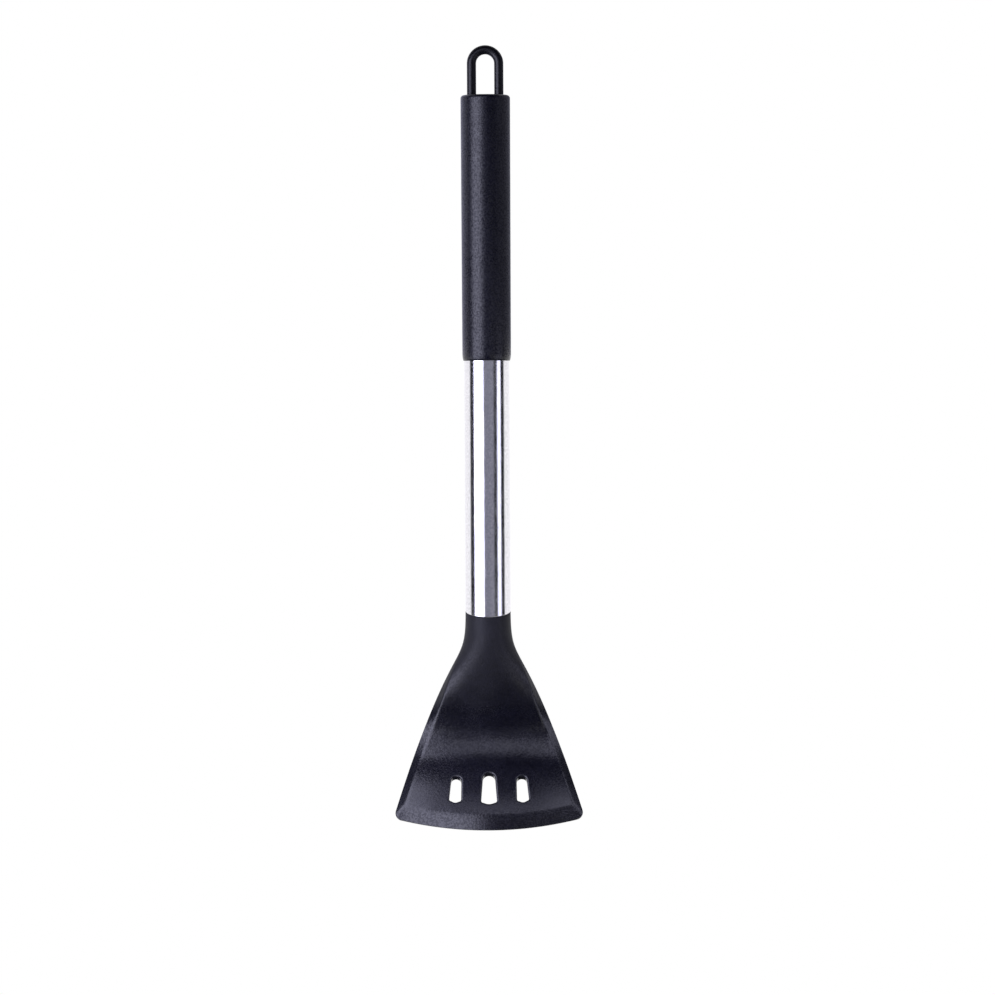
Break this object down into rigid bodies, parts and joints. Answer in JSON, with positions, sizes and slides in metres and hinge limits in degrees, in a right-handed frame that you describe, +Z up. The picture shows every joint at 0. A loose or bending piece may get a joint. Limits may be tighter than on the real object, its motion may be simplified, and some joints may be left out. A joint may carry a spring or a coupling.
{
  "type": "grill spatula",
  "caption": "Fan-shaped slotted turner with a bevelled silicone head, a brushed steel tube handle, a black sleeve grip and a hanging loop.",
  "frame": {"origin": "hook seat: the inner top of the hanging loop's arch, on the handle's axis", "axes": "+Z up along the handle as it hangs, +X across the blade to the right as seen from the front, -Y toward the viewer and the side the blade leans to"},
  "size_m": [0.0788, 0.025, 0.3304],
  "materials": {
    "silicone": "fine-grained satin black silicone",
    "core_nylon": "matte black nylon",
    "inner_steel": "plain stainless steel",
    "seal_rubber": "black seal rubber",
    "tube_steel": "finely brushed stainless steel",
    "grip_plastic": "fine-grained matte black",
    "loop_plastic": "satin to glossy black"
  },
  "bodies": {
    "root": {"head_skin": "silicone", "blade_core": "core_nylon", "tang": "inner_steel", "lower_plug": "core_nylon", "tang_pin": "inner_steel", "lower_seal": "seal_rubber", "steel_tube": "tube_steel", "grip": "grip_plastic", "upper_plug": "core_nylon", "upper_seal": "seal_rubber", "hanging_loop": "loop_plastic", "loop_pin": "inner_steel"}
  },
  "joints": []
}
